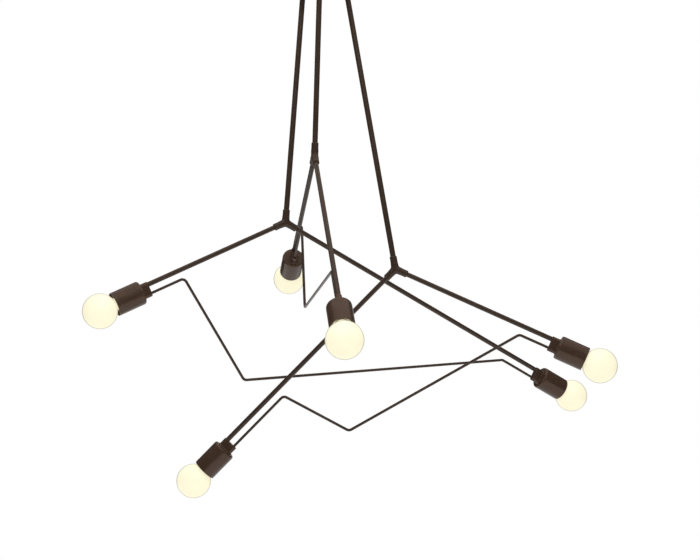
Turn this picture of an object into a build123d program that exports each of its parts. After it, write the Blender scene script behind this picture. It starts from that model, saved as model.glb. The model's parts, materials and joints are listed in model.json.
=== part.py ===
"""Outdoor pendant light: three stems spread from one ceiling canopy.

Each stem ends in a three-way joint with two arms. Each arm carries a socket cup with a globe bulb,
and a thin bent rod ties the two cups of a module together. Millimetres, +Z up.
The origin is the centre of the canopy's ceiling face, and +Y points away from the viewer.
"""
import os
from itertools import combinations

from build123d import *

# Canopy on the ceiling
canopy_diameter = 180
canopy_depth = 30
canopy_wall = 1.5
canopy_corner_radius = 9
gasket_thickness = 3
gasket_width = 8
bar_length = 134
bar_width = 22
bar_thickness = 2.5
box_slot_spacing = 70
box_slot_length = 12
box_slot_width = 5
stud_spacing = 112
stud_diameter = 4
stud_clearance = 0.2
cap_nut_diameter = 11
cap_nut_height = 9
cap_nut_round = 2.2
stud_in_nut = 4.5

# Swivels between canopy and stems
stem_count = 3
stem_circle_radius = 58
stem_circle_turn = 23.8
ball_diameter = 24
ball_clearance = 0.2
collar_diameter = 32
collar_above = 5
collar_below = 7
collar_chamfer = 2
stem_above_ball_centre = 8

# Tubes, rod and their fits
stem_diameter = 12.7
stem_wall = 1.5
arm_diameter = 11.1
arm_wall = 1.2
rod_diameter = 6.35
rod_bend_radius = 11
rod_seat_gap = 2
seat_clearance = 0.1

# Three-way joint
sleeve_diameter = 16.5
sleeve_length = 30
sleeve_chamfer = 1.2
tube_stop = 12
hub_reach = 11
wire_passage_diameter = 7

# Socket cup with its double-barrelled neck
cup_diameter = 55
cup_length = 68
cup_wall = 2
cup_back = 4
cup_round = 6
neck_length = 19.5
barrel_spacing = 21
barrel_diameter = 14.5
neck_chamfer = 0.8

# Lampholder in the cup
holder_diameter = 38
holder_cap_gap = 1
shell_wall = 0.6
shell_clearance = 0.3
contact_diameter = 6
contact_height = 2.5
contact_gap = 0.3

# Globe bulb with its screw cap
globe_diameter = 79.4
globe_wall = 1
globe_beyond_mouth = 35.8
globe_shoulder_radius = 12
globe_neck_cut = 3
cap_diameter = 26
cap_length = 20
cap_top_below_centre = 48
cap_insulator_length = 4
cap_insulator_end_diameter = 12
cap_tip_diameter = 9
cap_tip_length = 1.8

# Left module: long run to the right, turned away from the viewer at its right end
left_turn = 22.5
left_tilt = -4.4
left_lean = 0.6
left_stem_length = 547
left_short_arm_angle = 61.9
left_short_arm_reach = 379
left_long_arm_angle = 66.1
left_long_arm_reach = 776
left_rod_short_run = 103
left_rod_long_run = 114
left_rod_dip_across = -72
left_rod_dip_below = 372

# Right module: lowest of the three, almost facing the viewer
right_turn = -5.7
right_tilt = 10.2
right_lean = -3.2
right_stem_length = 666
right_long_arm_angle = 54.6
right_long_arm_reach = 572
right_short_arm_angle = 55.7
right_short_arm_reach = 410
right_rod_long_run = 183
right_rod_short_run = 90
right_rod_dip_across = -169
right_rod_dip_below = 347

# Middle module: highest of the three, seen almost edge on
middle_turn = -80.6
middle_tilt = -6
middle_lean = -0.87
middle_stem_length = 395
middle_far_arm_angle = 52.5
middle_far_arm_reach = 422
middle_near_arm_angle = 56.1
middle_near_arm_reach = 518
middle_rod_far_run = 165
middle_rod_near_run = 125
middle_rod_dip_across = -92
middle_rod_dip_below = 364

canopy_floor_z = -(gasket_thickness + canopy_depth)
pivot_z = canopy_floor_z - collar_above
stem_step = 360 / stem_count
ball_radius = ball_diameter / 2
globe_radius = globe_diameter / 2
globe_from_back = cup_length + globe_beyond_mouth
cap_top = globe_from_back - cap_top_below_centre
cap_end = cap_top - cap_length
tip_end = cap_end - cap_insulator_length - cap_tip_length
holder_mouth = cap_top - holder_cap_gap
shell_radius = cap_diameter / 2 + shell_clearance + shell_wall

os.makedirs("parts", exist_ok=True)


def save(piece, name):
    """Label a finished piece and write it as its own file."""
    piece.part.label = name
    export_step(piece.part, f"parts/{name}.step")


class Module:
    """A stem, its three-way joint and two arms, all in one upright plane."""

    def __init__(self, bearing, turn, tilt, lean, stem_length):
        """Hang the stem from its place on the stem circle and lay the module's axes along it."""
        upright = Plane.XY.rotated((0, 0, bearing))
        self.pivot = upright.from_local_coords(Vector(stem_circle_radius, 0, pivot_z))
        self.normal = Vector(0, -1, 0).rotate(Axis.X, lean).rotate(Axis.Z, turn)
        across = Vector(1, 0, 0).rotate(Axis.Z, turn)
        self.across = across.rotate(Axis((0, 0, 0), self.normal), tilt)
        self.down = self.normal.cross(self.across) * -1
        self.centre = self.pivot + self.down * stem_length

    def arm(self, side, angle):
        """Direction of an arm, swung by its angle from the stem's line to one side."""
        return self.down.rotate(Axis((0, 0, 0), self.normal), side * angle)

    def inward(self, side, angle):
        """Square to an arm in the module's plane, towards the space between the arms."""
        return self.arm(side, angle).rotate(Axis((0, 0, 0), self.normal), -side * 90)

    def socket(self, side, angle, reach):
        """Plane on the back of a cup: z along the arm to the cup's mouth, x from arm to rod."""
        inward = self.inward(side, angle)
        back = self.centre + self.arm(side, angle) * reach + inward * (barrel_spacing / 2)
        return Plane(origin=back, x_dir=inward, z_dir=self.arm(side, angle))

    def rod_corners(self, sides, dip_across, dip_below):
        """Corners of the rod: along one arm, down to its lowest point and up to the other arm."""
        runs = []
        for side, angle, reach, run in sides:
            line = self.centre + self.inward(side, angle) * barrel_spacing
            along = self.arm(side, angle)
            runs.append((line + along * (reach - rod_seat_gap), line + along * (reach - run)))
        dip = self.centre + self.across * dip_across + self.down * dip_below
        return [runs[0][0], runs[0][1], dip, runs[1][1], runs[1][0]]


def make_tube(name, start, direction, length, diameter, wall):
    """A straight round tube."""
    with BuildPart() as tube:
        with BuildSketch(Plane(origin=start, z_dir=direction)):
            Circle(diameter / 2)
            Circle(diameter / 2 - wall, mode=Mode.SUBTRACT)
        extrude(amount=length)
    save(tube, name)


def make_stem_ball(name, module):
    """The ball on a stem's upper end, bored for the stem."""
    with BuildPart(Plane(origin=module.pivot, z_dir=module.down * -1)) as ball:
        Sphere(ball_radius)
        Cylinder(stem_diameter / 2 + seat_clearance, ball_diameter, mode=Mode.SUBTRACT)
    save(ball, name)


def make_three_way_joint(name, module, angles):
    """Three sleeves that meet in the module's plane, bored for the stem and the two arms."""
    legs = [
        (module.down * -1, stem_diameter),
        (module.arm(-1, angles[0]), arm_diameter),
        (module.arm(1, angles[1]), arm_diameter),
    ]
    with BuildPart() as joint:
        for (first, _), (second, _) in combinations(legs, 2):
            with BuildLine():
                bend = TangentArc(
                    module.centre + first * hub_reach,
                    module.centre + second * hub_reach,
                    tangent=first * -1,
                )
            with BuildSketch(Plane(origin=bend @ 0, z_dir=bend % 0)):
                Circle(sleeve_diameter / 2)
            sweep(path=bend)
        for direction, _ in legs:
            with BuildSketch(Plane(origin=module.centre + direction * hub_reach, z_dir=direction)):
                Circle(sleeve_diameter / 2)
            extrude(amount=sleeve_length - hub_reach)
            rims = joint.edges().filter_by(GeomType.CIRCLE)
            rim = rims.sort_by_distance(module.centre + direction * sleeve_length)[0]
            chamfer(rim, length=sleeve_chamfer)
        for direction, diameter in legs:
            with BuildSketch(Plane(origin=module.centre + direction * tube_stop, z_dir=direction)):
                Circle(diameter / 2 + seat_clearance)
            extrude(amount=sleeve_length, mode=Mode.SUBTRACT)
            with BuildSketch(Plane(origin=module.centre, z_dir=direction)):
                Circle(wire_passage_diameter / 2)
            extrude(amount=tube_stop, mode=Mode.SUBTRACT)
    save(joint, name)


def make_socket_cup(name, plane):
    """The cup with its rounded back edge and the two-barrelled neck behind it."""
    with BuildPart() as cup:
        with BuildSketch(plane.offset(-neck_length)):
            SlotCenterToCenter(barrel_spacing, barrel_diameter)
        extrude(amount=neck_length + cup_back)
        chamfer(cup.faces().sort_by(Axis(plane.origin, plane.z_dir))[0].edges(), length=neck_chamfer)
        with BuildSketch(plane):
            Circle(cup_diameter / 2)
        extrude(amount=cup_length)
        rims = cup.edges().filter_by(GeomType.CIRCLE)
        rims = rims.filter_by(lambda rim: abs(rim.radius - cup_diameter / 2) < 0.01)
        fillet(rims.sort_by_distance(plane.origin)[0], radius=cup_round)
        with BuildSketch(plane.offset(cup_back)):
            Circle(cup_diameter / 2 - cup_wall)
        extrude(amount=cup_length, mode=Mode.SUBTRACT)
        for offset, diameter in ((-barrel_spacing / 2, arm_diameter), (barrel_spacing / 2, rod_diameter)):
            with BuildSketch(plane.offset(-neck_length)):
                with Locations((offset, 0)):
                    Circle(diameter / 2 + seat_clearance)
            extrude(amount=neck_length, mode=Mode.SUBTRACT)
        with BuildSketch(plane):
            with Locations((-barrel_spacing / 2, 0)):
                Circle(wire_passage_diameter / 2)
        extrude(amount=cup_back, mode=Mode.SUBTRACT)
    save(cup, name)


def make_lampholder(name, plane):
    """The insulator that stands on the cup's back wall and holds the screw shell."""
    with BuildPart() as holder:
        with BuildSketch(plane.offset(cup_back)):
            Circle(holder_diameter / 2)
        extrude(amount=holder_mouth - cup_back)
        with BuildSketch(plane.offset(tip_end - contact_gap - contact_height)):
            Circle(shell_radius)
        extrude(amount=holder_mouth, mode=Mode.SUBTRACT)
    save(holder, name)


def make_contacts(name, plane):
    """The brass screw shell round the bulb's cap, and the contact under the cap's tip."""
    floor = tip_end - contact_gap - contact_height
    with BuildPart() as contacts:
        with BuildSketch(plane.offset(floor)):
            Circle(shell_radius)
            Circle(shell_radius - shell_wall, mode=Mode.SUBTRACT)
        extrude(amount=holder_mouth - floor)
        with BuildSketch(plane.offset(floor)):
            Circle(contact_diameter / 2)
        extrude(amount=contact_height)
    save(contacts, name)


def make_globe(name, plane):
    """The glass globe, drawn in to a neck that ends in the screw cap."""
    centre = plane.offset(globe_from_back).origin
    profile = Plane(origin=centre, x_dir=plane.x_dir, z_dir=plane.x_dir.cross(plane.z_dir))
    shoulder = Vector(0, -(globe_radius**2 - (cap_diameter / 2) ** 2) ** 0.5)
    with BuildPart() as globe:
        with BuildSketch(profile) as outline:
            Circle(globe_radius)
            with Locations((0, -cap_top_below_centre)):
                Rectangle(cap_diameter, cap_top_below_centre, align=(Align.CENTER, Align.MIN))
            fillet(outline.vertices().sort_by_distance(shoulder)[:2], radius=globe_shoulder_radius)
            offset(amount=-globe_wall, mode=Mode.SUBTRACT)
            with Locations((0, -cap_top_below_centre)):
                Rectangle(cap_diameter - 2 * globe_wall, globe_neck_cut, mode=Mode.SUBTRACT)
            Rectangle(
                globe_diameter,
                2 * globe_diameter,
                align=(Align.MIN, Align.CENTER),
                mode=Mode.INTERSECT,
            )
        revolve(axis=Axis(centre, plane.z_dir))
    save(globe, name)


def make_cap(name, plane):
    """The bulb's screw cap with its insulator and contact tip."""
    with BuildPart() as cap:
        with BuildSketch(plane.offset(cap_end)):
            Circle(cap_diameter / 2)
        extrude(amount=cap_length)
        with BuildSketch(plane.offset(cap_end)):
            Circle(cap_diameter / 2)
        with BuildSketch(plane.offset(cap_end - cap_insulator_length)):
            Circle(cap_insulator_end_diameter / 2)
        loft()
        with BuildSketch(plane.offset(tip_end)):
            Circle(cap_tip_diameter / 2)
        extrude(amount=cap_tip_length)
    save(cap, name)


def make_rod(name, corners):
    """The thin rod, bent at three corners in the module's plane."""
    with BuildPart() as rod:
        with BuildLine():
            path = FilletPolyline(*corners, radius=rod_bend_radius)
        with BuildSketch(Plane(origin=path @ 0, z_dir=path % 0)):
            Circle(rod_diameter / 2)
        sweep(path=path)
    save(rod, name)


def make_module(side, bearing, turn, tilt, lean, stem_length, arms, dip_across, dip_below):
    """All pieces of one stem: arms are (name, angle, reach, rod run), left of the stem first."""
    module = Module(bearing, turn, tilt, lean, stem_length)
    make_tube(
        f"{side}_stem",
        module.pivot - module.down * stem_above_ball_centre,
        module.down,
        stem_length + stem_above_ball_centre - tube_stop,
        stem_diameter,
        stem_wall,
    )
    make_stem_ball(f"{side}_stem_ball", module)
    make_three_way_joint(f"{side}_joint", module, [angle for _, angle, _, _ in arms])
    sides = []
    for hand, (arm_name, angle, reach, run) in zip((-1, 1), arms):
        name = f"{side}_{arm_name}"
        direction = module.arm(hand, angle)
        start = module.centre + direction * tube_stop
        make_tube(f"{name}_arm", start, direction, reach - tube_stop, arm_diameter, arm_wall)
        plane = module.socket(hand, angle, reach)
        make_socket_cup(f"{name}_cup", plane)
        make_lampholder(f"{name}_lampholder", plane)
        make_contacts(f"{name}_contacts", plane)
        make_globe(f"{name}_globe", plane)
        make_cap(f"{name}_bulb_cap", plane)
        sides.append((hand, angle, reach, run))
    make_rod(f"{side}_rod", module.rod_corners(sides, dip_across, dip_below))


def make_canopy():
    """A shallow dish with holes for the three stems and the two studs."""
    with BuildPart() as canopy:
        with BuildSketch(Plane.XY.offset(canopy_floor_z)):
            Circle(canopy_diameter / 2)
        extrude(amount=canopy_depth)
        fillet(canopy.faces().sort_by(Axis.Z)[0].edges(), radius=canopy_corner_radius)
        offset(amount=-canopy_wall, openings=canopy.faces().sort_by(Axis.Z)[-1])
        with BuildSketch(Plane.XY.offset(canopy_floor_z)):
            with PolarLocations(stem_circle_radius, stem_count, start_angle=stem_circle_turn):
                Circle(ball_radius + ball_clearance)
            with GridLocations(stud_spacing, 0, 2, 1):
                Circle(stud_diameter / 2 + stud_clearance)
        extrude(amount=canopy_wall, mode=Mode.SUBTRACT)
    save(canopy, "canopy")


def make_gasket():
    """The flat ring between the canopy's rim and the ceiling."""
    with BuildPart() as gasket:
        with BuildSketch(Plane.XY.offset(-gasket_thickness)):
            Circle(canopy_diameter / 2)
            Circle(canopy_diameter / 2 - gasket_width, mode=Mode.SUBTRACT)
        extrude(amount=gasket_thickness)
    save(gasket, "canopy_gasket")


def make_ceiling_bar():
    """The strip that screws to the ceiling box, with two holes for the canopy's studs."""
    with BuildPart() as bar:
        with BuildSketch(Plane.XY.offset(-bar_thickness)):
            SlotOverall(bar_length, bar_width)
            with GridLocations(box_slot_spacing, 0, 2, 1):
                SlotOverall(box_slot_length, box_slot_width, mode=Mode.SUBTRACT)
            with GridLocations(stud_spacing, 0, 2, 1):
                Circle(stud_diameter / 2 + stud_clearance, mode=Mode.SUBTRACT)
        extrude(amount=bar_thickness)
    save(bar, "ceiling_bar")


def make_studs():
    """Two threaded studs from the bar down through the canopy."""
    with BuildPart() as studs:
        with BuildSketch(Plane.XY.offset(canopy_floor_z - stud_in_nut)):
            with GridLocations(stud_spacing, 0, 2, 1):
                Circle(stud_diameter / 2)
        extrude(amount=stud_in_nut - canopy_floor_z)
    save(studs, "canopy_studs")


def make_cap_nuts():
    """Domed hexagon nuts that draw the canopy up to the ceiling."""
    with BuildPart() as nuts:
        with BuildSketch(Plane.XY.offset(canopy_floor_z)):
            with GridLocations(stud_spacing, 0, 2, 1):
                RegularPolygon(cap_nut_diameter / 2, 6)
        extrude(amount=-cap_nut_height)
        fillet(nuts.faces().group_by(Axis.Z)[0].edges(), radius=cap_nut_round)
        with BuildSketch(Plane.XY.offset(canopy_floor_z)):
            with GridLocations(stud_spacing, 0, 2, 1):
                Circle(stud_diameter / 2 + seat_clearance)
        extrude(amount=-(stud_in_nut + seat_clearance), mode=Mode.SUBTRACT)
    save(nuts, "canopy_cap_nuts")


def make_swivel_collars():
    """Three rings under the canopy, hollowed to a seat for the stems' balls."""
    with BuildPart() as collars:
        with PolarLocations(stem_circle_radius, stem_count, start_angle=stem_circle_turn):
            with Locations((0, 0, pivot_z - collar_below)):
                Cylinder(
                    collar_diameter / 2,
                    collar_above + collar_below,
                    align=(Align.CENTER, Align.CENTER, Align.MIN),
                )
        chamfer(collars.faces().group_by(Axis.Z)[0].edges(), length=collar_chamfer)
        with PolarLocations(stem_circle_radius, stem_count, start_angle=stem_circle_turn):
            with Locations((0, 0, pivot_z)):
                Sphere(ball_radius + ball_clearance, mode=Mode.SUBTRACT)
    save(collars, "swivel_collars")


make_canopy()
make_gasket()
make_ceiling_bar()
make_studs()
make_cap_nuts()
make_swivel_collars()

make_module(
    "right",
    stem_circle_turn,
    right_turn,
    right_tilt,
    right_lean,
    right_stem_length,
    [
        ("long", right_long_arm_angle, right_long_arm_reach, right_rod_long_run),
        ("short", right_short_arm_angle, right_short_arm_reach, right_rod_short_run),
    ],
    right_rod_dip_across,
    right_rod_dip_below,
)
make_module(
    "left",
    stem_circle_turn + stem_step,
    left_turn,
    left_tilt,
    left_lean,
    left_stem_length,
    [
        ("short", left_short_arm_angle, left_short_arm_reach, left_rod_short_run),
        ("long", left_long_arm_angle, left_long_arm_reach, left_rod_long_run),
    ],
    left_rod_dip_across,
    left_rod_dip_below,
)
make_module(
    "middle",
    stem_circle_turn + 2 * stem_step,
    middle_turn,
    middle_tilt,
    middle_lean,
    middle_stem_length,
    [
        ("far", middle_far_arm_angle, middle_far_arm_reach, middle_rod_far_run),
        ("near", middle_near_arm_angle, middle_near_arm_reach, middle_rod_near_run),
    ],
    middle_rod_dip_across,
    middle_rod_dip_below,
)
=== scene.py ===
"""Outdoor pendant light: finishes, fine surfaces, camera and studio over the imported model.

Sizes below are in millimetres and repeat the part's own; meshes are written in metres.
"""
import json
import bmesh
import bpy
import numpy as np
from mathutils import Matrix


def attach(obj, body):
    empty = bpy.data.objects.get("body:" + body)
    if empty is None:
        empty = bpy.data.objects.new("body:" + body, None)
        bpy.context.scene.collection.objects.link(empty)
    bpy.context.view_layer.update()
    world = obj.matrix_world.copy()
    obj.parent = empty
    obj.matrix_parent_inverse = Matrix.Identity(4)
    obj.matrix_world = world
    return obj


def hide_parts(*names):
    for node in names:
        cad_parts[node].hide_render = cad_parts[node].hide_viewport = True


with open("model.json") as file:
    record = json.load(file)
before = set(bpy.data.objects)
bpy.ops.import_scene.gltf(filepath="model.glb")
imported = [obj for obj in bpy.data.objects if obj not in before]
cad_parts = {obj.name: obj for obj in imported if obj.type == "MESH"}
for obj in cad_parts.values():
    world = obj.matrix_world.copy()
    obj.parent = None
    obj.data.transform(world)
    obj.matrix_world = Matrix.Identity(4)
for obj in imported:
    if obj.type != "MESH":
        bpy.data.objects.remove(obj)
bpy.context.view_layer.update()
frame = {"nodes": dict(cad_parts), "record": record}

MM = 0.001
PIVOT_Z = -38.0
STEM_CIRCLE = 58.0
STEM_BEARING = 23.8
STEM_R, STEM_BORE, STEM_ABOVE_PIVOT = 6.35, 4.85, 8.0
ARM_R, ARM_BORE = 5.55, 4.35
ROD_R, ROD_BEND, ROD_SEAT_GAP = 3.175, 11.0, 2.0
SLEEVE_R, SLEEVE_LENGTH, SLEEVE_CHAMFER, TUBE_STOP, HUB_REACH = 8.25, 30.0, 1.2, 12.0, 11.0
CUP_R, CUP_LENGTH, CUP_WALL, CUP_BACK, CUP_ROUND = 27.5, 68.0, 2.0, 4.0, 6.0
NECK_LENGTH, BARREL_SPACING, BARREL_R, NECK_CHAMFER, NECK_FLARE = 19.5, 21.0, 7.25, 0.8, 2.2
GLOBE_R, GLOBE_BEYOND_MOUTH, GLOBE_SHOULDER, NECK_EASE = 39.7, 35.8, 12.0, 0.4
CAP_R, CAP_LENGTH, CAP_TOP_BELOW_CENTRE = 13.0, 20.0, 48.0
CAP_INSULATOR, CAP_INSULATOR_END_R, CAP_TIP_R, CAP_TIP = 4.0, 6.0, 4.5, 1.8
THREAD_PITCH, THREAD_DEPTH, THREAD_FADE = 3.6, 0.8, 1.5
SLEEVE_PLAY = 0.1  # between a sleeve and its tube
BLEND = 0.45  # softness of the joint's inner corners
SKIN_REACH = 34.0  # how far out from a leg's line the joint's skin is looked for

# Rings and points of the surfaces
TUBE_COLUMNS, ROD_COLUMNS, CUP_COLUMNS, NECK_COLUMNS, CAP_COLUMNS = 48, 32, 96, 80, 64
ROD_BEND_STEPS, SEAM_STEPS, SLEEVE_ROWS, SKIN_SAMPLES, CAP_ROWS = 17, 25, 22, 120, 110
SHOULDER_STEPS, BALL_STEPS = 12, 72
ROW_CROWDING = 1.3  # above 1 a sleeve's rows lie closer near the hub
MERGE_WITHIN, SHARP_ABOVE = 2e-6, 38  # metres, degrees

# Studio, in metres and watts: name, place, aim, size, power, shown in reflections
LAMPS = (
    ("key", (-0.1, -1.6, 0.5), (0, 0, -0.9), 1.0, 23, False),
    ("fill", (2.4, -2.2, 0.2), (0, 0, -0.7), 2.0, 12, False),
    ("back", (0.6, 2.4, 1.2), (0, 0, -0.7), 1.6, 15, False),
    ("side", (-2.4, 1.8, 0.2), (0, 0, -0.7), 2.0, 16, False),
    ("overhead", (0, 0.3, 1.6), (0, 0.3, -1), 5.0, 34, True),
    ("top", (0, -0.3, 1.4), (0, -0.3, -1), 2.0, 34, False),
)
FLOOR_R, FLOOR_Z, FLOOR_POINTS, FLOOR_GREY = 3.9, -2.1, 96, 0.82
FLOOR_GLOW, RIM_GLOW, GLOW_FROM = 0.02, 0.6, 2.4  # the floor pales from this far off to its rim
ROOM_LIGHT, DIM_ROOM = 0.4, 0.04
CARD_EDGE, CARD_FULL = 0.90, 0.97  # the white card behind, by the cosine from straight ahead
CAMERA_AT, FOCAL_PIXELS, PICTURE_WIDTH, SENSOR_WIDTH = (0.0626, -3.535, -0.7175), 1526.1, 700, 36

# Each module: bearing step, turn, tilt, lean, stem length, two arms, the rod's dip (across, below).
# An arm: name, angle from the stem's line, reach to the cup, run of the rod beside it.
MODULES = {
    "right": (
        0, -5.7, 10.2, -3.2, 666,
        (("long", 54.6, 572, 183), ("short", 55.7, 410, 90)), (-169, 347),
    ),
    "left": (
        120, 22.5, -4.4, 0.6, 547,
        (("short", 61.9, 379, 103), ("long", 66.1, 776, 114)), (-72, 372),
    ),
    "middle": (
        240, -80.6, -6.0, -0.87, 395,
        (("far", 52.5, 422, 165), ("near", 56.1, 518, 125)), (-92, 364),
    ),
}


def unit(vector):
    """A vector divided by its length."""
    return vector / np.linalg.norm(vector, axis=-1, keepdims=True)


def turned(vector, axis, degrees):
    """Turn about an axis: v cos a + (k x v) sin a + k (k.v)(1 - cos a)."""
    a, k = np.radians(degrees), unit(np.asarray(axis, float))
    v = np.asarray(vector, float)
    return v * np.cos(a) + np.cross(k, v) * np.sin(a) + k * (k @ v) * (1 - np.cos(a))


def lay_module(bearing, turn, tilt, lean, stem, arms, dip):
    """Axes of one module: pivot, hub centre, plane normal, arm lines, cup backs and rod corners."""
    b = np.radians(STEM_BEARING + bearing)
    pivot = np.array([STEM_CIRCLE * np.cos(b), STEM_CIRCLE * np.sin(b), PIVOT_Z])
    normal = turned(turned((0, -1, 0), (1, 0, 0), lean), (0, 0, 1), turn)
    across = turned(turned((1, 0, 0), (0, 0, 1), turn), normal, tilt)
    down = -np.cross(normal, across)
    centre = pivot + down * stem
    lay = {"pivot": pivot, "normal": normal, "down": down, "centre": centre, "arms": {}}
    ends = []
    for hand, (name, angle, reach, run) in zip((-1, 1), arms):
        along = turned(down, normal, hand * angle)
        inward = turned(along, normal, -hand * 90)
        line = centre + inward * BARREL_SPACING
        ends.append((line + along * (reach - ROD_SEAT_GAP), line + along * (reach - run)))
        lay["arms"][name] = {
            "along": along,
            "inward": inward,
            "reach": reach,
            "back": centre + along * reach + inward * BARREL_SPACING / 2,
        }
    low = centre + across * dip[0] + down * dip[1]
    lay["rod"] = np.array([ends[0][0], ends[0][1], low, ends[1][1], ends[1][0]])
    return lay


def softened(corners, steps):
    """Profile of (radius, height, rounding, wear) with its inner corners c rounded.

    A corner becomes (1-t)^2 a + 2t(1-t) c + t^2 b, where a and b lie one rounding from c
    on its two edges. Wear is strongest in the middle of a rounded corner.
    """
    data = np.asarray(corners, float)
    c, rounding, wear = data[:, :2], data[1:-1, 2:3], data[1:-1, 3:4]
    a = c[1:-1] + rounding * unit(c[:-2] - c[1:-1])
    b = c[1:-1] + rounding * unit(c[2:] - c[1:-1])
    t = np.linspace(0, 1, steps)
    weights = np.stack([(1 - t) ** 2, 2 * t * (1 - t), t**2])
    curve = np.einsum("wt,wcx->ctx", weights, np.stack([a, c[1:-1], b]))
    rub = wear * np.sin(np.pi * t)
    points = np.concatenate([c[:1], curve.reshape(-1, 2), c[-1:]])
    return points, np.concatenate([[0], rub.ravel(), [0]])


def angles(columns):
    """Angles of evenly spaced points on a circle."""
    return np.linspace(0, 2 * np.pi, columns, endpoint=False)


def spokes(axis, columns):
    """Directions square to an axis, all round it: cos a*e1 + sin a*e2."""
    side = np.array([0, 0, 1.0]) if abs(axis[2]) < 0.9 else np.array([1.0, 0, 0])
    e1 = unit(np.cross(axis, side))
    a = angles(columns)[:, None]
    return np.cos(a) * e1 + np.sin(a) * np.cross(axis, e1)


def lathed(profile, rub, origin, axis, columns):
    """Profile (radius r, height h) carried round an axis: origin + h*axis + r*spoke."""
    points = origin + profile[:, None, 1:] * axis + profile[:, None, :1] * spokes(axis, columns)
    return points, np.repeat(rub[:, None], columns, axis=1)


def arc(centre, radius, start, end, steps):
    """Points of a circle's arc in the (radius, height) plane, by angle in degrees."""
    a = np.radians(np.linspace(start, end, steps))
    return np.stack([centre[0] + radius * np.cos(a), centre[1] + radius * np.sin(a)], -1)


def tube_surface(start, direction, length, outer, bore):
    """A straight tube: a thin closed profile with eased ends carried round the tube's line."""
    profile, rub = softened([
        (bore, length / 2, 0, 0), (bore, 0, 0.3, 0), (outer, 0, 0.4, 0.3),
        (outer, length, 0.4, 0.3), (bore, length, 0.3, 0), (bore, length / 2, 0, 0),
    ], steps=4)
    return lathed(profile, rub, start, direction, TUBE_COLUMNS)


def rod_surface(corners, normal):
    """A circle carried along straight runs joined by arcs that touch both runs, all in one plane.

    At a corner the arc starts and ends r*tan(half turn) from it, about a centre off to the inside.
    """
    runs = unit(np.diff(corners, axis=0))
    turn = np.arccos(np.clip(np.sum(runs[:-1] * runs[1:], axis=1), -1, 1))
    inset = ROD_BEND * np.tan(turn / 2)
    side = unit(runs[1:] - np.sum(runs[1:] * runs[:-1], axis=1)[:, None] * runs[:-1])
    begin = corners[1:-1] - runs[:-1] * inset[:, None]
    swept = turn[:, None] * np.linspace(0, 1, ROD_BEND_STEPS)
    bends = (
        begin[:, None]
        + ROD_BEND * np.sin(swept)[..., None] * runs[:-1, None]
        + ROD_BEND * (1 - np.cos(swept))[..., None] * side[:, None]
    )
    path = np.concatenate([corners[:1], bends.reshape(-1, 3), corners[-1:]])
    turning = np.cos(swept)[..., None] * runs[:-1, None] + np.sin(swept)[..., None] * side[:, None]
    along = unit(np.concatenate([runs[:1], turning.reshape(-1, 3), runs[-1:]]))
    a = angles(ROD_COLUMNS)[:, None]
    sideways = np.cross(along, normal)[:, None]
    rings = path[:, None] + ROD_R * (np.cos(a) * normal + np.sin(a) * sideways)
    ends = [np.repeat(p[None, None], ROD_COLUMNS, axis=1) for p in (path[0], path[-1])]
    points = np.concatenate([ends[0], rings, ends[1]])
    return points, np.zeros(points.shape[:2])


def leg_distance(points, centre, legs, normal):
    """Signed distance to three sleeves and the three elbows between them, by a soft minimum.

    Soft minimum: -k log(sum of exp(-d/k)), with k the blend. An elbow is an arc that touches two
    sleeves one hub reach out from the centre.
    """
    p = points - centre
    parts = []
    for leg in legs:
        t = np.clip(p @ leg, HUB_REACH, 4 * SLEEVE_LENGTH)
        parts.append(np.linalg.norm(p - t[..., None] * leg, axis=-1) - SLEEVE_R)
    for i in range(3):
        first, second = legs[i], legs[i - 2]
        half = np.arccos(np.clip(first @ second, -1, 1)) / 2
        middle = unit(first + second)
        bend_r = HUB_REACH * np.tan(half)
        bend_centre = middle * HUB_REACH / np.cos(half)
        q = p - bend_centre
        out = q @ normal
        flat = q - out[..., None] * normal
        flat_r = np.linalg.norm(flat, axis=-1)
        within = (flat @ -middle) > flat_r * np.sin(half)
        ring = np.hypot(flat_r - bend_r, out)
        to_ends = [np.linalg.norm(p - leg * HUB_REACH, axis=-1) for leg in (first, second)]
        ends = np.minimum(*to_ends)
        parts.append(np.where(within, ring, ends) - SLEEVE_R)
    return -BLEND * np.log(np.sum(np.exp(-np.stack(parts) / BLEND), axis=0))


def first_crossing(start, direction, centre, legs, normal):
    """How far along each ray the joint's skin is first met: sampled, then refined in between."""
    s = np.linspace(0, SKIN_REACH, SKIN_SAMPLES)
    samples = start[..., None, :] + s[:, None] * direction[..., None, :]
    values = leg_distance(samples, centre, legs, normal)
    hit = np.argmax(values > 0, axis=-1)
    low = np.take_along_axis(values, (hit - 1)[..., None], -1)[..., 0]
    high = np.take_along_axis(values, hit[..., None], -1)[..., 0]
    return s[hit - 1] + (s[hit] - s[hit - 1]) * (-low / (high - low))


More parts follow.
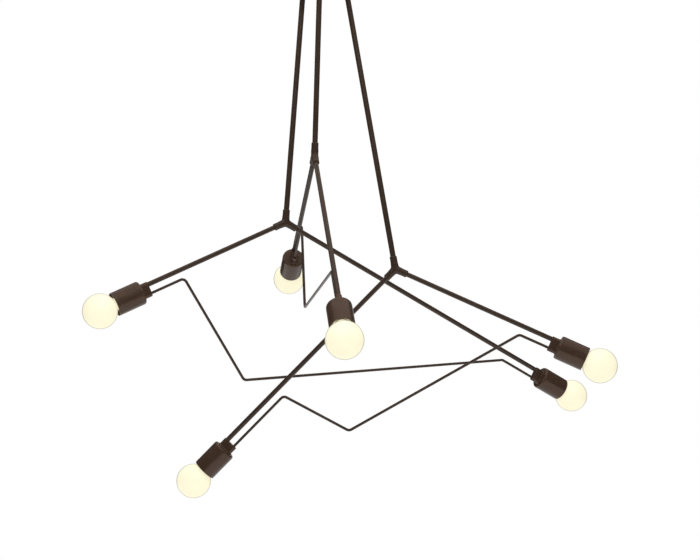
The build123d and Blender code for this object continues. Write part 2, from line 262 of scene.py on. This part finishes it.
def joint_surfaces(centre, legs, bores, normal):
    """Skin of the three-way joint, one ring grid a leg.

    A leg's rings start on the planes that halve the angles to its two neighbours and end at the
    sleeve's rim; in between a point lies on the skin, straight out from the leg's line.
    """
    half = np.radians(np.linspace(90, -90, SEAM_STEPS))[:-1]
    grids = []
    for i in range(3):
        leg, neighbours = legs[i], (legs[i - 1], legs[i - 2])
        seams = []
        for sign, other in zip((1, -1), neighbours):
            middle = unit(leg + other)
            rays = np.cos(half)[:, None] * middle + sign * np.sin(half)[:, None] * normal
            far = first_crossing(np.broadcast_to(centre, rays.shape), rays, centre, legs, normal)
            seams.append(rays * far[:, None])
        seam = np.concatenate(seams)
        seam_t = seam @ leg
        seam_out = unit(seam - seam_t[:, None] * leg)
        side = np.cross(leg, normal)
        side = side if side @ neighbours[0] > 0 else -side
        around = np.concatenate([half, half])
        flip = np.repeat([1, -1], len(half))[:, None]
        rim_out = flip * (np.cos(around)[:, None] * side + np.sin(around)[:, None] * normal)
        u = np.linspace(0, 1, SLEEVE_ROWS)[:, None] ** ROW_CROWDING
        t = seam_t * (1 - u) + (SLEEVE_LENGTH - SLEEVE_CHAMFER) * u
        out = unit(seam_out * (1 - u[..., None]) + rim_out * u[..., None])
        start = centre + t[..., None] * leg
        radius = first_crossing(start, out, centre, legs, normal)
        skin = start + radius[..., None] * out
        end, rub = softened([
            (SLEEVE_R, SLEEVE_LENGTH - SLEEVE_CHAMFER, 0, 0),
            (SLEEVE_R - SLEEVE_CHAMFER, SLEEVE_LENGTH, 0.25, 0.9),
            (bores[i] + SLEEVE_PLAY, SLEEVE_LENGTH, 0.2, 0),
            (bores[i] + SLEEVE_PLAY, TUBE_STOP, 0, 0),
            (0, TUBE_STOP, 0, 0),
        ], steps=4)
        rim = centre + end[1:, None, 1:] * leg + end[1:, None, :1] * rim_out
        points = np.concatenate([skin, rim])
        wear = np.concatenate([np.zeros(len(skin)), rub[1:]])
        wear[len(skin) - 1] = 0.5
        grids.append((points, np.repeat(wear[:, None], points.shape[1], axis=1)))
    return grids


def cup_surfaces(back, along, inward):
    """The cup, a closed profile carried round its line, and its neck, a stadium carried along it.

    The stadium is a circle split along one line: every point moves half the barrel spacing to its
    own side.
    """
    inner_r = CUP_R - CUP_WALL
    profile, rub = softened([
        (0, 0, 0, 0), (CUP_R, 0, CUP_ROUND, 0.25), (CUP_R, CUP_LENGTH, 0.35, 1.0),
        (inner_r, CUP_LENGTH, 0.35, 0.6), (inner_r, CUP_BACK, 1.5, 0), (0, CUP_BACK, 0, 0),
    ], steps=9)
    cup = lathed(profile, rub, back, along, CUP_COLUMNS)
    foot_r = BARREL_R + NECK_FLARE
    section, rub = softened([
        (0, -NECK_LENGTH, 0, 0), (BARREL_R - NECK_CHAMFER, -NECK_LENGTH, 0.2, 0.6),
        (BARREL_R, -NECK_LENGTH + NECK_CHAMFER, 0.3, 0.8), (BARREL_R, -NECK_FLARE, 1.2, 0),
        (foot_r, 0.2, 0.6, 0), (foot_r, CUP_BACK / 2, 0, 0), (0, CUP_BACK / 2, 0, 0),
    ], steps=5)
    a = angles(NECK_COLUMNS)
    shift = np.where(np.cos(a) > 0, 0.5, -0.5) * BARREL_SPACING
    ring = np.cos(a)[:, None] * inward + np.sin(a)[:, None] * np.cross(along, inward)
    split = np.where(section[:, None] > 0, 1, 0)[..., :1] * shift[:, None] * inward
    points = back + section[:, None, 1:] * along + section[:, None, :1] * ring + split
    return [cup, (points, np.repeat(rub[:, None], NECK_COLUMNS, axis=1))]


def globe_surface(centre, along):
    """A ball drawn in to a neck: the neck, an arc that touches neck and ball, then the ball."""
    arc_r = CAP_R + GLOBE_SHOULDER
    arc_h = -np.sqrt((GLOBE_R + GLOBE_SHOULDER) ** 2 - arc_r**2)
    meet = np.degrees(np.arctan2(-arc_h, -arc_r))
    end = -CAP_TOP_BELOW_CENTRE
    profile = np.concatenate([
        [(0, end), (CAP_R - NECK_EASE, end), (CAP_R, end + NECK_EASE)],
        arc((arc_r, arc_h), GLOBE_SHOULDER, 180, meet, SHOULDER_STEPS),
        arc((0, 0), GLOBE_R, meet - 180, 90, BALL_STEPS)[1:],
    ])
    profile[-1, 0] = 0
    return lathed(profile, np.zeros(len(profile)), centre, along, CUP_COLUMNS)


def cap_surface(centre, along):
    """The screw cap, closed at both ends: radius R - d*(1 - cos(2 pi h / pitch - a))/2.

    Here h is the height, a the angle and d the thread's depth, which fades out at both ends.
    """
    top = -CAP_TOP_BELOW_CENTRE
    end = top - CAP_LENGTH
    h = np.linspace(top, end, CAP_ROWS)
    fade = np.clip(np.minimum(top - h, h - end) / THREAD_FADE, 0, 1)[:, None]
    wave = 1 - np.cos(2 * np.pi * h[:, None] / THREAD_PITCH - angles(CAP_COLUMNS))
    r = CAP_R - fade * THREAD_DEPTH * wave / 2
    foot = end - CAP_INSULATOR
    lower, _ = softened([
        (CAP_R, end, 0, 0), (CAP_INSULATOR_END_R, foot, 0.8, 0), (CAP_TIP_R, foot, 0.3, 0),
        (CAP_TIP_R, foot - CAP_TIP, 0.9, 0), (0, foot - CAP_TIP, 0, 0),
    ], steps=5)
    lower_radii = np.repeat(lower[1:, :1], CAP_COLUMNS, axis=1)
    radii = np.concatenate([np.zeros((1, CAP_COLUMNS)), r, lower_radii])
    heights = np.concatenate([h[:1], h, lower[1:, 1]])
    ring = spokes(along, CAP_COLUMNS)
    points = centre + heights[:, None, None] * along + radii[..., None] * ring
    return points, np.zeros(radii.shape)


def make_piece(name, grids, finish, body, slot, *nodes):
    """Ring grids as one mesh: quads between rings, poles and seams merged, faces outwards."""
    verts, quads, worn, base = [], [], [], 0
    for points, rub in grids:
        rows, cols = points.shape[:2]
        i, j = np.meshgrid(np.arange(rows - 1), np.arange(cols), indexing="ij")
        k = (j + 1) % cols
        this, following = i * cols, (i + 1) * cols
        around = np.stack([this + j, this + k, following + k, following + j], -1)
        quads.append(base + around.reshape(-1, 4))
        verts.append(points.reshape(-1, 3) * MM)
        worn.append(rub.ravel())
        base += rows * cols
    mesh = bpy.data.meshes.new(name)
    mesh.from_pydata(np.concatenate(verts).tolist(), [], np.concatenate(quads).tolist())
    wear = mesh.attributes.new("worn", "FLOAT", "POINT")
    wear.data.foreach_set("value", np.concatenate(worn).astype(np.float32))
    bm = bmesh.new()
    bm.from_mesh(mesh)
    bmesh.ops.remove_doubles(bm, verts=bm.verts, dist=MERGE_WITHIN)
    bmesh.ops.recalc_face_normals(bm, faces=bm.faces)
    bm.to_mesh(mesh)
    bm.free()
    mesh.shade_smooth()
    mesh.set_sharp_from_angle(angle=np.radians(SHARP_ABOVE))
    mesh.materials.append(finish)
    piece = bpy.data.objects.new(name, mesh)
    bpy.context.collection.objects.link(piece)
    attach(piece, body)
    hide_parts(*nodes)


def new_finish(name):
    """A node material: the material, its node tree, its shader and the object's coordinates."""
    material = bpy.data.materials.new(name)
    material.use_nodes = True
    tree = material.node_tree
    shader = tree.nodes["Principled BSDF"]
    place = tree.nodes.new("ShaderNodeTexCoord").outputs["Object"]
    return material, tree, shader, place


def noise(tree, place, scale, detail=3.0, rough=0.5):
    """Cloudy value between 0 and 1 at a given number of cells a metre."""
    node = tree.nodes.new("ShaderNodeTexNoise")
    node.inputs["Scale"].default_value = scale
    node.inputs["Detail"].default_value = detail
    node.inputs["Roughness"].default_value = rough
    tree.links.new(place, node.inputs["Vector"])
    return node.outputs["Fac"]


def ramp(tree, value, stops):
    """Colour by value: each stop is (place, r, g, b)."""
    node = tree.nodes.new("ShaderNodeValToRGB")
    while len(node.color_ramp.elements) < len(stops):
        node.color_ramp.elements.new(0.5)
    for element, (at, r, g, b) in zip(node.color_ramp.elements, stops):
        element.position = at
        element.color = (r, g, b, 1)
    tree.links.new(value, node.inputs["Fac"])
    return node.outputs["Color"]


def spread(tree, value, low, high, start=0.0, end=1.0):
    """Value from start..end moved to low..high and held there beyond."""
    node = tree.nodes.new("ShaderNodeMapRange")
    node.inputs["From Min"].default_value = start
    node.inputs["From Max"].default_value = end
    node.inputs["To Min"].default_value = low
    node.inputs["To Max"].default_value = high
    tree.links.new(value, node.inputs["Value"])
    return node.outputs["Result"]


def blend(tree, factor, first, second):
    """Mix of two colours by a factor."""
    node = tree.nodes.new("ShaderNodeMix")
    node.data_type = "RGBA"
    tree.links.new(factor, node.inputs["Factor"])
    tree.links.new(first, node.inputs["A"])
    tree.links.new(second, node.inputs["B"])
    return node.outputs["Result"]


def times(tree, first, second):
    """Product of two values."""
    node = tree.nodes.new("ShaderNodeMath")
    node.operation = "MULTIPLY"
    node.use_clamp = True
    tree.links.new(first, node.inputs[0])
    tree.links.new(second, node.inputs[1])
    return node.outputs["Value"]


def bumped(tree, shader, value, strength, depth):
    """Surface relief of a given depth in metres."""
    node = tree.nodes.new("ShaderNodeBump")
    node.inputs["Strength"].default_value = strength
    node.inputs["Distance"].default_value = depth
    tree.links.new(value, node.inputs["Height"])
    tree.links.new(node.outputs["Normal"], shader.inputs["Normal"])


def bronze_coat(name, browns, gloss, tint):
    """Dark bronze powder coat: mottled brown, orange-peel relief, rubbed lighter on edges."""
    material, tree, shader, place = new_finish(name)
    brown = ramp(tree, noise(tree, place, 14, 5, 0.6), browns)
    scuffs = noise(tree, place, 120, 3)
    rubbed = ramp(tree, scuffs, [(0.35, 0.080, 0.050, 0.032), (0.7, 0.130, 0.085, 0.055)])
    edge = tree.nodes.new("ShaderNodeAttribute")
    edge.attribute_name = "worn"
    patchy = noise(tree, place, 260, 4, 0.7)
    bare = times(tree, edge.outputs["Fac"], patchy)
    tree.links.new(blend(tree, bare, brown, rubbed), shader.inputs["Base Color"])
    tree.links.new(spread(tree, noise(tree, place, 70, 4), 0.24, 0.34), shader.inputs["Roughness"])
    shader.inputs["Specular IOR Level"].default_value = gloss
    shader.inputs["Specular Tint"].default_value = tint
    bumped(tree, shader, noise(tree, place, 900, 2), 0.15, 0.0002)
    return material


def lit_frosted_glass():
    """Frosted globe with its lamp on: milky and warm, its glow greyed by painted shade where seen
    edge on.
    """
    material, tree, shader, place = new_finish("lit_frosted_glass")
    cloud = noise(tree, place, 35, 3)
    cream = ramp(tree, cloud, [(0.3, 0.17, 0.165, 0.13), (0.7, 0.21, 0.205, 0.165)])
    tree.links.new(cream, shader.inputs["Base Color"])
    shader.inputs["Roughness"].default_value = 0.42
    # Painted rim shade: the glow's colour turns grey where the globe is seen edge on.
    facing = tree.nodes.new("ShaderNodeLayerWeight")
    facing.inputs["Blend"].default_value = 0.5
    glow = ramp(tree, facing.outputs["Facing"], [
        (0.0, 0.84, 0.79, 0.57), (0.64, 0.82, 0.77, 0.56),
        (0.86, 0.30, 0.29, 0.23), (1.0, 0.10, 0.10, 0.09),
    ])
    tree.links.new(glow, shader.inputs["Emission Color"])
    shader.inputs["Emission Strength"].default_value = 1.0
    bumped(tree, shader, noise(tree, place, 2600, 1), 0.05, 0.0001)
    return material


def cloudy_finish(name, clouds, colours, grain, roughness, metallic=0.0, relief=None):
    """A finish with clouds of two colours, a patchy roughness and, where given, a fine relief.

    Clouds and grain are (cells a metre, detail); relief is (cells a metre, strength, depth).
    """
    material, tree, shader, place = new_finish(name)
    tree.links.new(ramp(tree, noise(tree, place, *clouds), colours), shader.inputs["Base Color"])
    tree.links.new(spread(tree, noise(tree, place, *grain), *roughness), shader.inputs["Roughness"])
    shader.inputs["Metallic"].default_value = metallic
    if relief:
        cells, strength, depth = relief
        bumped(tree, shader, noise(tree, place, cells, 2), strength, depth)
    return material


FINISHES = {
    "bronze": bronze_coat(
        "bronze_coat", [(0.3, 0.0370, 0.0205, 0.0128), (0.7, 0.0470, 0.0268, 0.0172)],
        gloss=0.62, tint=(1.0, 0.76, 0.62, 1)),
    "frosted_glass": lit_frosted_glass(),
    "nickel": cloudy_finish(
        "plated_cap", (90, 4), [(0.3, 0.52, 0.50, 0.47), (0.7, 0.66, 0.65, 0.62)],
        (300, 3), (0.22, 0.42), metallic=1.0, relief=(1500, 0.1, 0.0001)),
    "porcelain": cloudy_finish(
        "glazed_porcelain", (60, 4), [(0.3, 0.70, 0.68, 0.63), (0.7, 0.78, 0.77, 0.73)],
        (200, 2), (0.12, 0.25), relief=(700, 0.1, 0.0002)),
    "brass": cloudy_finish(
        "rolled_brass", (80, 5), [(0.3, 0.42, 0.27, 0.09), (0.7, 0.60, 0.42, 0.16)],
        (160, 3), (0.2, 0.45), metallic=1.0),
    "gasket_rubber": cloudy_finish(
        "gasket_rubber", (50, 5), [(0.3, 0.012, 0.012, 0.012), (0.75, 0.030, 0.030, 0.029)],
        (400, 3), (0.75, 0.95), relief=(1800, 0.4, 0.0003)),
    "zinc_steel": cloudy_finish(
        "zinc_steel", (120, 5), [(0.3, 0.40, 0.41, 0.42), (0.7, 0.55, 0.56, 0.55)],
        (240, 3), (0.28, 0.5), metallic=1.0, relief=(900, 0.15, 0.0002)),
}
# Tubes, rods and three-way joints: duller than the cups, and darker partly as painted shade,
# standing in for how much darker the thin tubes show than the cups under this light.
shaded_tubes_finish = bronze_coat(
    "bronze_tubes_painted_shade", [(0.3, 0.0305, 0.0195, 0.0132), (0.7, 0.0385, 0.0250, 0.0172)],
    gloss=0.45, tint=(1.0, 0.84, 0.74, 1))

for part in frame["record"]["subparts"]:
    node = frame["nodes"][part["node"]]
    node.data.materials.clear()
    node.data.materials.append(FINISHES[part["material_slot"]])

bronze, glass, nickel = (FINISHES[slot] for slot in ("bronze", "frosted_glass", "nickel"))
for side, values in MODULES.items():
    lay = lay_module(*values)
    body = f"{side}_module"
    centre, down, normal = lay["centre"], lay["down"], lay["normal"]
    stem_length = np.linalg.norm(centre - lay["pivot"]) + STEM_ABOVE_PIVOT - TUBE_STOP
    stem = tube_surface(lay["pivot"] - down * STEM_ABOVE_PIVOT, down, stem_length, STEM_R, STEM_BORE)
    make_piece(f"{side}_stem_tube", [stem], shaded_tubes_finish, body, "bronze", f"{side}_stem")
    rod = rod_surface(lay["rod"], normal)
    make_piece(f"{side}_bent_rod", [rod], shaded_tubes_finish, body, "bronze", f"{side}_rod")
    legs = [-down] + [arm["along"] for arm in lay["arms"].values()]
    hub = joint_surfaces(centre, legs, (STEM_R, ARM_R, ARM_R), normal)
    make_piece(f"{side}_three_way", hub, shaded_tubes_finish, body, "bronze", f"{side}_joint")
    for arm_name, arm in lay["arms"].items():
        name, bulb = f"{side}_{arm_name}", f"{side}_{arm_name}_bulb"
        along, back = arm["along"], arm["back"]
        start, length = centre + along * TUBE_STOP, arm["reach"] - TUBE_STOP
        tube = tube_surface(start, along, length, ARM_R, ARM_BORE)
        make_piece(f"{name}_arm_tube", [tube], shaded_tubes_finish, body, "bronze", f"{name}_arm")
        cup = cup_surfaces(back, along, arm["inward"])
        make_piece(f"{name}_socket_cup", cup, bronze, body, "bronze", f"{name}_cup")
        middle = back + along * (CUP_LENGTH + GLOBE_BEYOND_MOUTH)
        globe, cap = globe_surface(middle, along), cap_surface(middle, along)
        make_piece(f"{name}_glass", [globe], glass, bulb, "frosted_glass", f"{name}_globe")
        make_piece(f"{name}_screw_cap", [cap], nickel, bulb, "nickel", f"{name}_bulb_cap")


def seen_by_eye(tree):
    """1 for rays from the camera, in reflections and through glass, 0 for light that only falls."""
    path = tree.nodes.new("ShaderNodeLightPath")
    eye, mirror = tree.nodes.new("ShaderNodeMath"), tree.nodes.new("ShaderNodeMath")
    eye.operation = mirror.operation = "MAXIMUM"
    tree.links.new(path.outputs["Is Camera Ray"], eye.inputs[0])
    tree.links.new(path.outputs["Is Glossy Ray"], eye.inputs[1])
    tree.links.new(eye.outputs["Value"], mirror.inputs[0])
    tree.links.new(path.outputs["Is Transmission Ray"], mirror.inputs[1])
    return mirror.outputs["Value"]


def make_floor():
    """A round pale floor well below the light, which keeps its shadow and pales to the rim."""
    material = bpy.data.materials.new("pale_floor")
    material.use_nodes = True
    tree = material.node_tree
    shader = tree.nodes["Principled BSDF"]
    shader.inputs["Base Color"].default_value = (FLOOR_GREY, FLOOR_GREY, FLOOR_GREY, 1)
    shader.inputs["Roughness"].default_value = 0.8
    shader.inputs["Emission Color"].default_value = (1, 1, 1, 1)
    place, away = tree.nodes.new("ShaderNodeTexCoord"), tree.nodes.new("ShaderNodeVectorMath")
    away.operation = "LENGTH"
    tree.links.new(place.outputs["Object"], away.inputs[0])
    rim_away = np.hypot(FLOOR_R, FLOOR_Z)
    glow = spread(tree, away.outputs["Value"], FLOOR_GLOW, RIM_GLOW, GLOW_FROM, rim_away)
    tree.links.new(times(tree, seen_by_eye(tree), glow), shader.inputs["Emission Strength"])
    mesh = bpy.data.meshes.new("floor")
    a = angles(FLOOR_POINTS)
    rim = np.stack([FLOOR_R * np.cos(a), FLOOR_R * np.sin(a), np.full(FLOOR_POINTS, FLOOR_Z)], -1)
    mesh.from_pydata(rim.tolist(), [], [list(range(FLOOR_POINTS))])
    mesh.materials.append(material)
    floor = bpy.data.objects.new("floor", mesh)
    bpy.context.collection.objects.link(floor)


def make_world():
    """White backdrop as wide as the view, in a dim room; soft grey light from all round."""
    world = bpy.data.worlds.new("studio")
    world.use_nodes = True
    bpy.context.scene.world = world
    tree = world.node_tree
    tree.nodes.clear()
    soft, white = tree.nodes.new("ShaderNodeBackground"), tree.nodes.new("ShaderNodeBackground")
    soft.inputs["Color"].default_value = (0.95, 0.97, 1.0, 1)
    soft.inputs["Strength"].default_value = ROOM_LIGHT
    white.inputs["Color"].default_value = (1, 1, 1, 1)
    way = tree.nodes.new("ShaderNodeSeparateXYZ")
    place = tree.nodes.new("ShaderNodeTexCoord")
    tree.links.new(place.outputs["Generated"], way.inputs["Vector"])
    behind = spread(tree, way.outputs["Y"], DIM_ROOM, 1.0, CARD_EDGE, CARD_FULL)
    path, brightest = tree.nodes.new("ShaderNodeLightPath"), tree.nodes.new("ShaderNodeMath")
    brightest.operation = "MAXIMUM"
    tree.links.new(behind, brightest.inputs[0])
    tree.links.new(path.outputs["Is Camera Ray"], brightest.inputs[1])
    tree.links.new(brightest.outputs["Value"], white.inputs["Strength"])
    mixed = tree.nodes.new("ShaderNodeMixShader")
    tree.links.new(seen_by_eye(tree), mixed.inputs["Fac"])
    tree.links.new(soft.outputs["Background"], mixed.inputs[1])
    tree.links.new(white.outputs["Background"], mixed.inputs[2])
    out = tree.nodes.new("ShaderNodeOutputWorld")
    tree.links.new(mixed.outputs["Shader"], out.inputs["Surface"])


def make_lamp(name, place, aim, size, power, mirrored):
    """A square soft lamp at a place, facing a point; most lamps stay out of reflections."""
    light = bpy.data.lights.new(name, "AREA")
    light.size = size
    light.energy = power
    lamp = bpy.data.objects.new(name, light)
    lamp.location = place
    ahead = np.asarray(aim, float) - np.asarray(place, float)
    flat = np.hypot(ahead[0], ahead[1])
    lamp.rotation_euler = (np.arctan2(flat, -ahead[2]), 0, np.arctan2(-ahead[0], ahead[1]))
    lamp.visible_glossy = mirrored
    lamp.visible_camera = False
    bpy.context.collection.objects.link(lamp)


def make_camera():
    """Level camera in front, at the height of the lower joints, with the photograph's framing."""
    lens = bpy.data.cameras.new("view")
    lens.sensor_fit = "HORIZONTAL"
    lens.sensor_width = SENSOR_WIDTH
    lens.lens = SENSOR_WIDTH * FOCAL_PIXELS / PICTURE_WIDTH
    lens.clip_end = 60
    camera = bpy.data.objects.new("view", lens)
    camera.location = CAMERA_AT
    camera.rotation_euler = (np.pi / 2, 0, 0)
    bpy.context.collection.objects.link(camera)
    bpy.context.scene.camera = camera


make_floor()
make_world()
for lamp_row in LAMPS:
    make_lamp(*lamp_row)
make_camera()
bpy.context.scene.view_settings.view_transform = "Standard"
